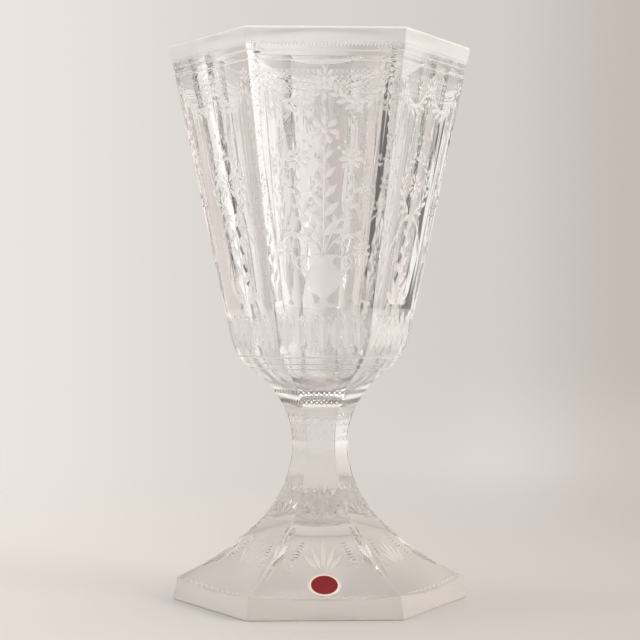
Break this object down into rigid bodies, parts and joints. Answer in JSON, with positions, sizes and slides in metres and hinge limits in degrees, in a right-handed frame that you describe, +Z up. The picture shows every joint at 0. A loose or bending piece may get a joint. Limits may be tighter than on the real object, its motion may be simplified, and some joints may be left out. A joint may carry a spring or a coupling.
{
  "type": "goblet",
  "caption": "Heavy clear goblet for drinking or display, with a flared hexagonal bowl on a waisted stem and a broad hexagonal foot, wheel-engraved, with frosted edges and a foil seal.",
  "frame": {"origin": "centre of the foot, on the table", "axes": "+Z up the axis to the rim, -Y out through the middle of the panel that carries the seal, +X through a corner"},
  "size_m": [0.1312, 0.1138, 0.24],
  "materials": {
    "crystal": "cut and polished, engraved in matt, with ground lip and foot edge",
    "foil": "dark red lacquered foil with a pale rim, blank"
  },
  "bodies": {
    "root": {"bowl": "crystal", "stem": "crystal", "foot": "crystal", "seal": "foil"}
  },
  "joints": []
}
